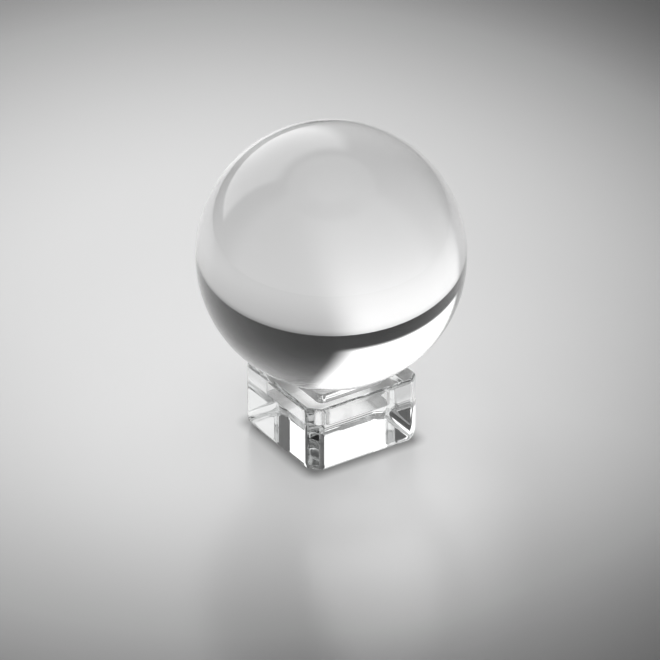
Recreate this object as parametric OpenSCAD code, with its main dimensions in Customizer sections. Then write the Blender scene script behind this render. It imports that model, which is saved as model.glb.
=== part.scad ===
// Clear glass ball resting on a square pressed-glass stand.
// Millimetres, +Z up. The origin is the centre of the stand's underside,
// and the stand's sides face +X, -X, +Y and -Y.

/* [Ball] */
// Diameter of the solid glass ball
ball_d = 80; // [60:1:100]

/* [Stand] */
// Width of the square stand across its flat sides
stand_w = 39.3; // [32:0.1:52]
// Height of the stand
stand_h = 21.8; // [17:0.1:32]
// Leg of the flat cut that takes off each upright corner
corner_cut = 3.5; // [2:0.1:6]
// Radius of the fire-polished edge around the top
top_edge_r = 1.4; // [0.6:0.1:2]
// Radius of the fuller edge around the underside
foot_edge_r = 3; // [0.5:0.1:4]

/* [Recess] */
// Width of the square recess in the top of the stand
recess_w = 22.7; // [18:0.1:26]
// Depth of the recess below the top face
recess_depth = 9; // [7:0.5:13]
// Radius of the recess's upright corners
recess_corner_r = 2; // [1:0.1:5]
// Radius of the rim that the ball rests on
rim_r = 0.6; // [0.3:0.1:1.2]

/* [Fit] */
// Gap left between the ball and the rim under it
seat_gap = 0.1; // [0.05:0.05:0.3]

/* [Hidden] */

$fn = 96;
over = 1;                                    // how far a cutter runs past a face

ball_r = ball_d / 2;
side = stand_w / 2;                          // from the axis to a flat side
cut_side = (stand_w - corner_cut) / sqrt(2); // from the axis to a cut corner's face
edge_run = stand_w + 2 * over;               // long enough to pass every edge's ends

recess_side = recess_w / 2;
recess_corner = recess_side - recess_corner_r;  // from the axis to a corner's own centre
recess_floor = stand_h - recess_depth;

// The ball touches the rounded rim at the middle of each side of the recess.
rim_centre = recess_side + rim_r;
rest_r = ball_r + rim_r + seat_gap;
ball_z = stand_h - rim_r + sqrt(rest_r * rest_r - rim_centre * rim_centre);

// Square plan with its four corners cut off.
module stand_plan() {
    flat = side - corner_cut;
    polygon([
        [side, -flat], [side, flat], [flat, side], [-flat, side],
        [-side, flat], [-side, -flat], [-flat, -side], [flat, -side]
    ]);
}

// Cutter that rounds one long outer edge. The edge runs along Y, where the
// side face at x = reach meets the face at z = 0, and the block is below it.
module edge_round(reach, r) {
    translate([reach - r, 0, -r])
        difference() {
            translate([0, -edge_run / 2, 0])
                cube([r + over, edge_run, r + over]);
            rotate([90, 0, 0])
                cylinder(r = r, h = edge_run + 2 * over, center = true);
        }
}

// One cutter at each of the eight edges around a face of the stand.
module edge_rounds(r) {
    for (turn = [0:3]) {
        rotate([0, 0, 90 * turn]) edge_round(side, r);
        rotate([0, 0, 90 * turn + 45]) edge_round(cut_side, r);
    }
}

// Half of the rim's opening in profile: reach wide, widening by rim_r at the top.
module rim_profile(reach) {
    difference() {
        square([reach + rim_r, rim_r + over]);
        translate([reach + rim_r, 0]) circle(r = rim_r);
    }
}

// A straight stretch of the opening along X, out to both rims.
module rim_bar() {
    rotate([90, 0, 90])
        linear_extrude(height = 2 * recess_corner, center = true) {
            rim_profile(recess_side);
            mirror([1, 0]) rim_profile(recess_side);
        }
}

// The hollow in the stand's top, with rounded corners and a rounded rim.
module recess() {
    straight = 2 * recess_corner;
    hollow_h = recess_depth + over;
    translate([0, 0, recess_floor]) {
        for (turn = [0, 90])
            rotate([0, 0, turn])
                translate([-recess_side, -straight / 2, 0])
                    cube([recess_w, straight, hollow_h]);
        for (x = [-recess_corner, recess_corner], y = [-recess_corner, recess_corner])
            translate([x, y, 0]) cylinder(r = recess_corner_r, h = hollow_h);
    }
    translate([0, 0, stand_h - rim_r]) {
        for (turn = [0, 90])
            rotate([0, 0, turn]) rim_bar();
        for (x = [-recess_corner, recess_corner], y = [-recess_corner, recess_corner])
            translate([x, y, 0]) rotate_extrude() rim_profile(recess_corner_r);
    }
}

module glass_stand() {
    color([0.80, 0.88, 0.86, 0.55])
        difference() {
            linear_extrude(height = stand_h) stand_plan();
            translate([0, 0, stand_h]) edge_rounds(top_edge_r);
            mirror([0, 0, 1]) edge_rounds(foot_edge_r);
            recess();
        }
}

module crystal_ball() {
    color([0.86, 0.90, 0.93, 0.55])
        translate([0, 0, ball_z]) sphere(d = ball_d);
}

crystal_ball();
glass_stand();
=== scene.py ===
import math

import bpy
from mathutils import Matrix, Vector


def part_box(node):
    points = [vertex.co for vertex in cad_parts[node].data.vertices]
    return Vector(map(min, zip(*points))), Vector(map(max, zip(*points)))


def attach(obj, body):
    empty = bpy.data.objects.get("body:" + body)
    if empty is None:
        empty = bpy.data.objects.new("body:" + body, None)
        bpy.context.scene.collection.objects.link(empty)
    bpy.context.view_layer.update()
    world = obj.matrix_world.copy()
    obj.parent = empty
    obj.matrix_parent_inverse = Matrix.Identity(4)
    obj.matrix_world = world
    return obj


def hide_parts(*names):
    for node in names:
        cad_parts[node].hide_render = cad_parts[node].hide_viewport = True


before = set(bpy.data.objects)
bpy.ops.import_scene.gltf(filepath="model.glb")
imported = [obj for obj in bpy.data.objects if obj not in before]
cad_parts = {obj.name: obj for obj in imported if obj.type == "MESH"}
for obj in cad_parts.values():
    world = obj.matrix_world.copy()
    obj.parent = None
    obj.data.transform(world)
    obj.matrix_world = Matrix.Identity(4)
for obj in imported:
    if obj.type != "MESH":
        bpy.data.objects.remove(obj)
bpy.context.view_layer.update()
print("frame loaded:", ", ".join(sorted(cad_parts)))

millimetre = 0.001
white = (1, 1, 1, 1)


def deselectAll():
    if bpy.context.mode != "OBJECT":
        bpy.ops.object.mode_set(mode="OBJECT")
    bpy.ops.object.select_all(action="DESELECT")


def pickOnly(piece):
    deselectAll()
    piece.select_set(True)
    bpy.context.view_layer.objects.active = piece


def selectEdges(piece, wanted):
    # wanted takes an edge's two ends and says whether it is picked
    bpy.ops.object.mode_set(mode="EDIT")
    bpy.ops.mesh.select_mode(type="EDGE")
    bpy.ops.mesh.select_all(action="DESELECT")
    bpy.ops.object.mode_set(mode="OBJECT")
    corners = piece.data.vertices
    for edge in piece.data.edges:
        one, two = (corners[i].co for i in edge.vertices)
        edge.select = wanted(one, two)
    bpy.ops.object.mode_set(mode="EDIT")


def applyModifier(piece, kind, name, **settings):
    modifier = piece.modifiers.new(name, kind)
    for setting, value in settings.items():
        setattr(modifier, setting, value)
    pickOnly(piece)
    bpy.ops.object.modifier_apply(modifier=name)


def settle(piece, name):
    # the place goes into the mesh, so the object sits at the origin like a CAD node
    pickOnly(piece)
    bpy.ops.object.transform_apply(location=True, rotation=True, scale=True)
    piece.name = name
    piece.data.name = name


def near(value, target, slack=0.02 * millimetre):
    return abs(value - target) < slack


def isUpright(one, two):
    return near(one.x, two.x) and near(one.y, two.y)


def isLevelAt(height):
    return lambda one, two: near(one.z, height) and near(two.z, height)


# the ball: an evenly divided block rounded into a true sphere

ball = {
    "divisions": 96,            # along each edge of the block, so the outline stays round in a close view
    "refraction": 1.52,
    "smudgeScale": 40,          # polish marks to a metre
    "smudgeRoughness": 0.012,   # at the middle of a mark
    "rippleScale": 30,
    "rippleHeight": 0.0,        # a ground and polished ball has no ripple
}


def makeBall():
    low, high = (Vector(corner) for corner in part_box("crystal_ball"))
    centre = (low + high) / 2
    radius = (high.z - low.z) / 2
    deselectAll()
    bpy.ops.mesh.primitive_cube_add(size=2 * radius, location=centre)
    piece = bpy.context.object
    bpy.ops.object.mode_set(mode="EDIT")
    bpy.ops.mesh.select_all(action="SELECT")
    bpy.ops.mesh.subdivide(number_cuts=ball["divisions"] - 1)
    bpy.ops.object.mode_set(mode="OBJECT")
    applyModifier(piece, "CAST", "roundOff", cast_type="SPHERE", factor=1.0, radius=0.0,
                  use_radius_as_size=False, size=radius)
    bpy.ops.object.shade_smooth()
    settle(piece, "ballGlass")
    return piece


# the stand: a pressed block with cut corners, polished edges and a recess for the ball

stand = {
    "cornerCut": 3.5 * millimetre,      # leg of the flat on each upright corner
    "uprightRound": 1.0 * millimetre,   # softening of the eight upright edges
    "topRound": 1.4 * millimetre,       # fire-polished edge around the top
    "footRound": 3.0 * millimetre,      # edge around the underside
    "edgeSteps": 12,                    # faces across each of those edges
    "recessWidth": 22.7 * millimetre,
    "recessDepth": 9 * millimetre,
    "recessCorner": 2.0 * millimetre,   # radius of the recess's upright corners
    "cornerSteps": 10,
    "recessFoot": 0.3 * millimetre,     # radius where the recess's walls meet its floor
    "recessFootSteps": 6,
    "rimRound": 0.6 * millimetre,       # radius of the rim that carries the ball
    "rimSteps": 5,
    "refraction": 1.52,
    "smudgeScale": 90,                  # polish marks to a metre
    "smudgeRoughness": 0.03,            # at the middle of a mark
    "rippleScale": 90,
    "rippleHeight": 0.04 * millimetre,  # the slight waviness that pressing leaves
    "tint": (0.86, 0.95, 0.92, 1),      # grey-green, seen where the glass is thick
    "tintDensity": 2.0,
}


def makeStandBlock(width, height):
    deselectAll()
    bpy.ops.mesh.primitive_cube_add(size=1, location=(0, 0, height / 2), scale=(width, width, height))
    piece = bpy.context.object
    bpy.ops.object.transform_apply(location=True, rotation=True, scale=True)
    selectEdges(piece, isUpright)
    bpy.ops.mesh.bevel(offset=stand["cornerCut"], segments=1, affect="EDGES")
    bpy.ops.object.mode_set(mode="OBJECT")
    rounds = ((isUpright, stand["uprightRound"]), (isLevelAt(height), stand["topRound"]),
              (isLevelAt(0), stand["footRound"]))
    widest = max(size for wanted, size in rounds)
    for wanted, size in rounds:
        selectEdges(piece, wanted)
        bpy.ops.transform.edge_bevelweight(value=size / widest)
        bpy.ops.object.mode_set(mode="OBJECT")
    applyModifier(piece, "BEVEL", "firePolish", limit_method="WEIGHT", width=widest,
                  segments=stand["edgeSteps"], use_clamp_overlap=False)
    return piece


def makeRecessCutter(height):
    # a block the shape of the hollow, taller than the stand so that it cuts a clean mouth
    width, depth = stand["recessWidth"], stand["recessDepth"]
    above = 5 * millimetre
    deselectAll()
    bpy.ops.mesh.primitive_cube_add(size=1, location=(0, 0, height - depth + (depth + above) / 2),
                                    scale=(width, width, depth + above))
    cutter = bpy.context.object
    bpy.ops.object.transform_apply(location=True, rotation=True, scale=True)
    selectEdges(cutter, isUpright)
    bpy.ops.mesh.bevel(offset=stand["recessCorner"], segments=stand["cornerSteps"], affect="EDGES")
    bpy.ops.object.mode_set(mode="OBJECT")
    selectEdges(cutter, isLevelAt(height - depth))
    bpy.ops.mesh.bevel(offset=stand["recessFoot"], segments=stand["recessFootSteps"], affect="EDGES",
                       clamp_overlap=False)
    bpy.ops.object.mode_set(mode="OBJECT")
    return cutter


def makeStand():
    low, high = (Vector(corner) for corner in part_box("glass_stand"))
    width, height = high.x - low.x, high.z
    piece = makeStandBlock(width, height)
    cutter = makeRecessCutter(height)
    applyModifier(piece, "BOOLEAN", "cutRecess", operation="DIFFERENCE", object=cutter, solver="EXACT")
    bpy.data.objects.remove(cutter)
    slack = 0.01 * millimetre
    reach = stand["recessWidth"] / 2 + slack

    def isRim(one, two):
        return all(near(end.z, height) and max(abs(end.x), abs(end.y)) < reach for end in (one, two))

    selectEdges(piece, isRim)
    bpy.ops.mesh.bevel(offset=stand["rimRound"], segments=stand["rimSteps"], affect="EDGES",
                       clamp_overlap=False)
    bpy.ops.object.mode_set(mode="OBJECT")
    pickOnly(piece)
    bpy.ops.object.shade_smooth()
    applyModifier(piece, "WEIGHTED_NORMAL", "flatFaces", mode="FACE_AREA", weight=100, keep_sharp=False)
    settle(piece, "standGlass")
    return piece


# polish marks and dust: a roughness and a surface height that change over the glass

marks = {
    "smudgeDetail": 4,
    "smudgeMask": (0.52, 0.75),  # the noise levels where a mark starts and where it is full
    "rippleDetail": 1,
}


def makeSmudgeGroup():
    group = bpy.data.node_groups.new("glassSurface", "ShaderNodeTree")
    face = group.interface
    face.new_socket(name="Coordinates", in_out="INPUT", socket_type="NodeSocketVector")
    for label in ("Smudge Scale", "Smudge Roughness", "Ripple Scale"):
        face.new_socket(name=label, in_out="INPUT", socket_type="NodeSocketFloat")
    for label in ("Roughness", "Height"):
        face.new_socket(name=label, in_out="OUTPUT", socket_type="NodeSocketFloat")
    nodes, links = group.nodes, group.links
    entry = nodes.new("NodeGroupInput")
    out = nodes.new("NodeGroupOutput")
    smudge = nodes.new("ShaderNodeTexNoise")
    smudge.inputs["Detail"].default_value = marks["smudgeDetail"]
    links.new(entry.outputs["Coordinates"], smudge.inputs["Vector"])
    links.new(entry.outputs["Smudge Scale"], smudge.inputs["Scale"])
    patches = nodes.new("ShaderNodeMapRange")
    start, full = marks["smudgeMask"]
    patches.inputs["From Min"].default_value = start
    patches.inputs["From Max"].default_value = full
    links.new(smudge.outputs["Fac"], patches.inputs["Value"])
    links.new(entry.outputs["Smudge Roughness"], patches.inputs["To Max"])
    links.new(patches.outputs["Result"], out.inputs["Roughness"])
    ripple = nodes.new("ShaderNodeTexNoise")
    ripple.inputs["Detail"].default_value = marks["rippleDetail"]
    links.new(entry.outputs["Coordinates"], ripple.inputs["Vector"])
    links.new(entry.outputs["Ripple Scale"], ripple.inputs["Scale"])
    links.new(ripple.outputs["Fac"], out.inputs["Height"])
    return group


def makeGlass(name, surface, look):
    material = bpy.data.materials.new(name)
    material.use_nodes = True
    nodes, links = material.node_tree.nodes, material.node_tree.links
    glass = nodes["Principled BSDF"]
    glass.inputs["Base Color"].default_value = white
    glass.inputs["Metallic"].default_value = 0
    glass.inputs["Transmission Weight"].default_value = 1
    glass.inputs["IOR"].default_value = look["refraction"]
    where = nodes.new("ShaderNodeTexCoord")
    finish = nodes.new("ShaderNodeGroup")
    finish.node_tree = surface
    finish.inputs["Smudge Scale"].default_value = look["smudgeScale"]
    finish.inputs["Smudge Roughness"].default_value = look["smudgeRoughness"]
    finish.inputs["Ripple Scale"].default_value = look["rippleScale"]
    links.new(where.outputs["Object"], finish.inputs["Coordinates"])
    links.new(finish.outputs["Roughness"], glass.inputs["Roughness"])
    bump = nodes.new("ShaderNodeBump")
    bump.inputs["Strength"].default_value = 1
    bump.inputs["Distance"].default_value = look["rippleHeight"]
    links.new(finish.outputs["Height"], bump.inputs["Height"])
    links.new(bump.outputs["Normal"], glass.inputs["Normal"])
    if "tint" in look:
        depthTint = nodes.new("ShaderNodeVolumeAbsorption")
        depthTint.inputs["Color"].default_value = look["tint"]
        depthTint.inputs["Density"].default_value = look["tintDensity"]
        links.new(depthTint.outputs["Volume"], nodes["Material Output"].inputs["Volume"])
    return material


view = {
    "turn": math.radians(-33.34),     # round from -Y
    "height": math.radians(30.06),    # above the table
    "distance": 1.4,
    "aim": (-0.00032, 0.00021, 0.0346),
    "angle": math.radians(7.997),
}


def makeCamera():
    camera = bpy.data.cameras.new("view")
    camera.angle = view["angle"]
    holder = bpy.data.objects.new("view", camera)
    bpy.context.collection.objects.link(holder)
    turn, height = view["turn"], view["height"]
    level = math.cos(height)
    back = Vector((math.sin(turn) * level, -math.cos(turn) * level, math.sin(height)))
    holder.location = Vector(view["aim"]) + back * view["distance"]
    holder.rotation_euler = back.to_track_quat("Z", "Y").to_euler()
    bpy.context.scene.camera = holder


# small node builders that the table and the room share

def feed(tree, socket, value):
    # a socket takes a link from another node, or a plain value
    if isinstance(value, bpy.types.NodeSocket):
        tree.links.new(value, socket)
    else:
        socket.default_value = value


def calculate(tree, operation, *values):
    node = tree.nodes.new("ShaderNodeMath")
    node.operation = operation
    for socket, value in zip(node.inputs, values):
        feed(tree, socket, value)
    return node.outputs["Value"]


def slope(tree, value, ends, levels=(0, 1)):
    # goes smoothly from the first level to the second between the two ends
    node = tree.nodes.new("ShaderNodeMapRange")
    node.interpolation_type = "SMOOTHSTEP"
    feed(tree, node.inputs["Value"], value)
    for label, setting in zip(("From Min", "From Max", "To Min", "To Max"), (*ends, *levels)):
        feed(tree, node.inputs[label], setting)
    return node.outputs["Result"]


def blend(tree, amount, one, two):
    # the first value where the amount is zero, the second where it is one
    node = tree.nodes.new("ShaderNodeMix")
    for label, value in zip(("Factor", "A", "B"), (amount, one, two)):
        feed(tree, node.inputs[label], value)
    return node.outputs["Result"]


def measure(tree, vector):
    node = tree.nodes.new("ShaderNodeVectorMath")
    node.operation = "LENGTH"
    feed(tree, node.inputs[0], vector)
    return node.outputs["Value"]


# the table: distances are in metres from the stand's middle, and a reach is where a change starts and
# where it ends; middles are to the right and away as the camera looks, and sizes likewise

tableLook = {
    "radius": 0.68,
    "sides": 256,
    "gap": 0.15 * millimetre,       # the stand's underside is not in optical contact with the table
    "roughness": 0.25,
    "paintedPoolMiddle": (-0.025, 0.089),  # middle of the painted pool of light on the table seen directly, where it is lightest
    "paintedPoolSize": (0.337, 0.400),
    # the painted pool's tone at parts of its size, outwards from the middle: painted light that fades to
    # shade
    "fade": ((0.0, 0.95), (0.2, 0.9), (0.35, 0.7), (0.5, 0.37), (0.6, 0.13), (0.7, 0.04)),
    "tone": 0.97,                   # the table as the glass shows it
    "edgeStart": 0.35,              # painted shade: darker from here to its edge
    "edgePaintedShade": 0.5,
    "frontReach": (-0.15, -0.45),   # painted shade: darker towards the camera, in parts of the painted pool's size
    "frontPaintedShade": 0.5,
    "nearReach": (0.04, 0.17),      # darker in the half shade close to the ball
    "nearTone": 0.74,
    "contactSide": 16.5 * millimetre,  # half the side of the square that the stand's foot shades
    "contactReach": (0.5 * millimetre, 6.5 * millimetre),  # outwards from that square
    "contactTone": 0.4,
    "poolReach": (5 * millimetre, 16 * millimetre),  # light that the ball gathers under the stand
    "poolGlow": 0.5,
    "backReach": (0.02, 0.06),      # light thrown back onto the table, as the glass shows it
    "backGlow": 0.25,
    "openReach": (0.03, 0.13),      # and as it is seen directly
    "openGlow": 0.08,
    "streakMiddle": (0.024, -0.045),  # light that passes through the ball
    "streakSize": (0.04, 0.105),
    "streakGlow": 0.16,
}


def oval(tree, place, middle, size):
    # an ellipse lined up with the camera's direction: its length is zero at its middle, one at its rim
    turn = view["turn"]
    right, away = middle
    mapping = tree.nodes.new("ShaderNodeMapping")
    mapping.vector_type = "TEXTURE"
    mapping.inputs["Location"].default_value = (right * math.cos(turn) - away * math.sin(turn),
                                                right * math.sin(turn) + away * math.cos(turn), 0)
    mapping.inputs["Rotation"].default_value = (0, 0, turn)
    mapping.inputs["Scale"].default_value = (*size, 1)
    tree.links.new(place, mapping.inputs["Vector"])
    return mapping.outputs["Vector"]


# painted light: the table seen directly darkens outwards from the pool's middle, as if lit by a pool of
# light
def makePaintedPool(tree, distance):
    node = tree.nodes.new("ShaderNodeValToRGB")
    ramp = node.color_ramp
    ramp.interpolation = "B_SPLINE"
    steps = tableLook["fade"]
    for step in steps[1:-1]:
        ramp.elements.new(step[0])
    for element, (place, tone) in zip(ramp.elements, steps):
        element.position = place
        element.color = (tone, tone, tone, 1)
    tree.links.new(distance, node.inputs["Fac"])
    return node.outputs["Color"]


def outsideFoot(tree, place):
    # how far a point is outside the square that the stand's foot shades
    side = tableLook["contactSide"]
    for operation, size in (("ABSOLUTE", None), ("SUBTRACT", side), ("MAXIMUM", 0)):
        node = tree.nodes.new("ShaderNodeVectorMath")
        node.operation = operation
        tree.links.new(place, node.inputs[0])
        if size is not None:
            node.inputs[1].default_value = (size, size, size)
        place = node.outputs["Vector"]
    return measure(tree, place)


def makeTableMaterial():
    material = bpy.data.materials.new("tableTop")
    material.use_nodes = True
    tree = material.node_tree
    top = tree.nodes["Principled BSDF"]
    top.inputs["Roughness"].default_value = tableLook["roughness"]
    place = tree.nodes.new("ShaderNodeTexCoord").outputs["Object"]
    direct = tree.nodes.new("ShaderNodeLightPath").outputs["Is Camera Ray"]
    reach = measure(tree, place)
    # the table seen directly gets a painted pool of light, darker outwards
    inFade = oval(tree, place, tableLook["paintedPoolMiddle"], tableLook["paintedPoolSize"])
    seenPaintedPool = makePaintedPool(tree, measure(tree, inFade))

    # the tone that the glass shows, with three painted shades laid over each other
    depth = tree.nodes.new("ShaderNodeSeparateXYZ")
    tree.links.new(inFade, depth.inputs["Vector"])
    tone = tableLook["tone"]
    start, end = tableLook["frontReach"]
    front = slope(tree, depth.outputs["Y"], (end, start), (tableLook["frontPaintedShade"], 1))
    edge = slope(tree, reach, (tableLook["edgeStart"], tableLook["radius"]),
                 (tone, tone * tableLook["edgePaintedShade"]))
    closeBy = slope(tree, reach, tableLook["nearReach"], (tableLook["nearTone"], 1))
    glassShadedTone = calculate(tree, "MULTIPLY", calculate(tree, "MULTIPLY", front, edge), closeBy)

    # the foot's shade, which the light under the stand cancels
    contact = slope(tree, outsideFoot(tree, place), tableLook["contactReach"],
                    (tableLook["contactTone"], 1))
    gathered = slope(tree, reach, tableLook["poolReach"], (1, 0))
    shade = calculate(tree, "MAXIMUM", contact, gathered)
    colour = calculate(tree, "MULTIPLY", blend(tree, direct, glassShadedTone, seenPaintedPool), shade)
    tree.links.new(colour, top.inputs["Base Color"])

    # the light that the glass throws on the table
    under = slope(tree, reach, tableLook["poolReach"], (tableLook["poolGlow"], 0))
    around = blend(tree, direct, slope(tree, reach, tableLook["backReach"], (tableLook["backGlow"], 0)),
                   slope(tree, reach, tableLook["openReach"], (tableLook["openGlow"], 0)))
    inStreak = oval(tree, place, tableLook["streakMiddle"], tableLook["streakSize"])
    streak = slope(tree, measure(tree, inStreak), (0, 1), (tableLook["streakGlow"], 0))
    beside = calculate(tree, "MULTIPLY", calculate(tree, "ADD", around, streak), contact)
    tree.links.new(calculate(tree, "ADD", under, beside), top.inputs["Emission Color"])
    top.inputs["Emission Strength"].default_value = 1
    return material


def makeTable():
    deselectAll()
    bpy.ops.mesh.primitive_circle_add(vertices=tableLook["sides"], radius=tableLook["radius"],
                                      fill_type="NGON", location=(0, 0, -tableLook["gap"]))
    table = bpy.context.object
    table.name = "tableTop"
    table.data.materials.append(makeTableMaterial())


# the room: sideways angles are in degrees from the direction the camera looks, left of it below zero,
# and heights are in degrees over the table; each pair of angles is where a change starts and ends

roomLook = {
    "boxLeft": (-67, -59),        # the soft box behind, each side from dark to full light
    "boxRight": (-2, -15),
    "boxLean": 0.42,              # how far its right side leans outwards per degree of height
    "boxFoot": (2.9, 5.6),
    "boxHead": (56, 44),
    "boxLevel": 1.8,
    "backLevel": (0.003, 0.07),   # the room behind at the table's edge and higher up
    "backRise": (2, 36),
    "rightTurn": (2, 45),         # its right side is a little lighter
    "rightLift": 0.02,
    "frontLevel": 0.9,            # the room on the camera's side
    "frontStart": (77, 102),
    "gapLevel": (0.8, 0.25),      # the band over both, behind and on the camera's side
    "gapTurn": (100, 150),
    "gapRise": (54, 62),
    "overheadLevel": 1.0,
    "overheadRise": (68, 78),
    "seenLevel": 0.25,            # the plain backdrop that the camera sees past the table
}


def makeWorld():
    world = bpy.data.worlds.new("studioRoom")
    bpy.context.scene.world = world
    world.use_nodes = True
    tree = world.node_tree
    nodes, links = tree.nodes, tree.links
    where = nodes.new("ShaderNodeTexCoord")
    turned = nodes.new("ShaderNodeVectorRotate")
    turned.rotation_type = "Z_AXIS"
    turned.inputs["Angle"].default_value = -view["turn"]
    links.new(where.outputs["Generated"], turned.inputs["Vector"])
    split = nodes.new("ShaderNodeSeparateXYZ")
    links.new(turned.outputs["Vector"], split.inputs["Vector"])
    turn = calculate(tree, "ARCTAN2", split.outputs["X"], split.outputs["Y"])
    aside = calculate(tree, "DEGREES", turn)
    height = calculate(tree, "DEGREES", calculate(tree, "ARCSINE", split.outputs["Z"]))
    awayTurn = calculate(tree, "ABSOLUTE", aside)

    # the room's walls and ceiling
    back = calculate(tree, "ADD", slope(tree, height, roomLook["backRise"], roomLook["backLevel"]),
                     slope(tree, aside, roomLook["rightTurn"], (0, roomLook["rightLift"])))
    walls = blend(tree, slope(tree, awayTurn, roomLook["frontStart"]), back, roomLook["frontLevel"])
    gap = slope(tree, awayTurn, roomLook["gapTurn"], roomLook["gapLevel"])
    above = blend(tree, slope(tree, height, roomLook["gapRise"]), walls, gap)
    sky = blend(tree, slope(tree, height, roomLook["overheadRise"]), above, roomLook["overheadLevel"])

    # the soft box in front of them
    lean = calculate(tree, "MULTIPLY", height, roomLook["boxLean"])
    leaned = calculate(tree, "SUBTRACT", aside, lean)
    dark, full = roomLook["boxRight"]
    across = calculate(tree, "MULTIPLY", slope(tree, aside, roomLook["boxLeft"]),
                       slope(tree, leaned, (full, dark), (1, 0)))
    dark, full = roomLook["boxHead"]
    upright = calculate(tree, "MULTIPLY", slope(tree, height, roomLook["boxFoot"]),
                        slope(tree, height, (full, dark), (1, 0)))
    box = calculate(tree, "MULTIPLY", across, upright)
    room = nodes["Background"]
    room.inputs["Color"].default_value = white
    links.new(blend(tree, box, sky, roomLook["boxLevel"]), room.inputs["Strength"])

    seen = nodes.new("ShaderNodeBackground")
    seen.inputs["Color"].default_value = white
    seen.inputs["Strength"].default_value = roomLook["seenLevel"]
    path = nodes.new("ShaderNodeLightPath")
    mix = nodes.new("ShaderNodeMixShader")
    links.new(path.outputs["Is Camera Ray"], mix.inputs["Fac"])
    links.new(room.outputs["Background"], mix.inputs[1])
    links.new(seen.outputs["Background"], mix.inputs[2])
    links.new(mix.outputs["Shader"], nodes["World Output"].inputs["Surface"])


makeCamera()
makeWorld()
makeTable()
print("studio ready")

surface = makeSmudgeGroup()
ballPiece = makeBall()
ballPiece.data.materials.append(makeGlass("ballGlass", surface, ball))
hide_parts("crystal_ball")
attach(ballPiece, "ball")
print("ball made:", len(ballPiece.data.polygons), "faces")

standPiece = makeStand()
standPiece.data.materials.append(makeGlass("standGlass", surface, stand))
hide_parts("glass_stand")
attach(standPiece, "stand")
print("stand made:", len(standPiece.data.polygons), "faces")

lightBounces = 12  # light still trapped in the stand after these goes dark, as fine lines along its edges
scene = bpy.context.scene
scene.view_settings.view_transform = "Standard"
scene.cycles.max_bounces = lightBounces
scene.cycles.transmission_bounces = lightBounces
scene.cycles.glossy_bounces = lightBounces
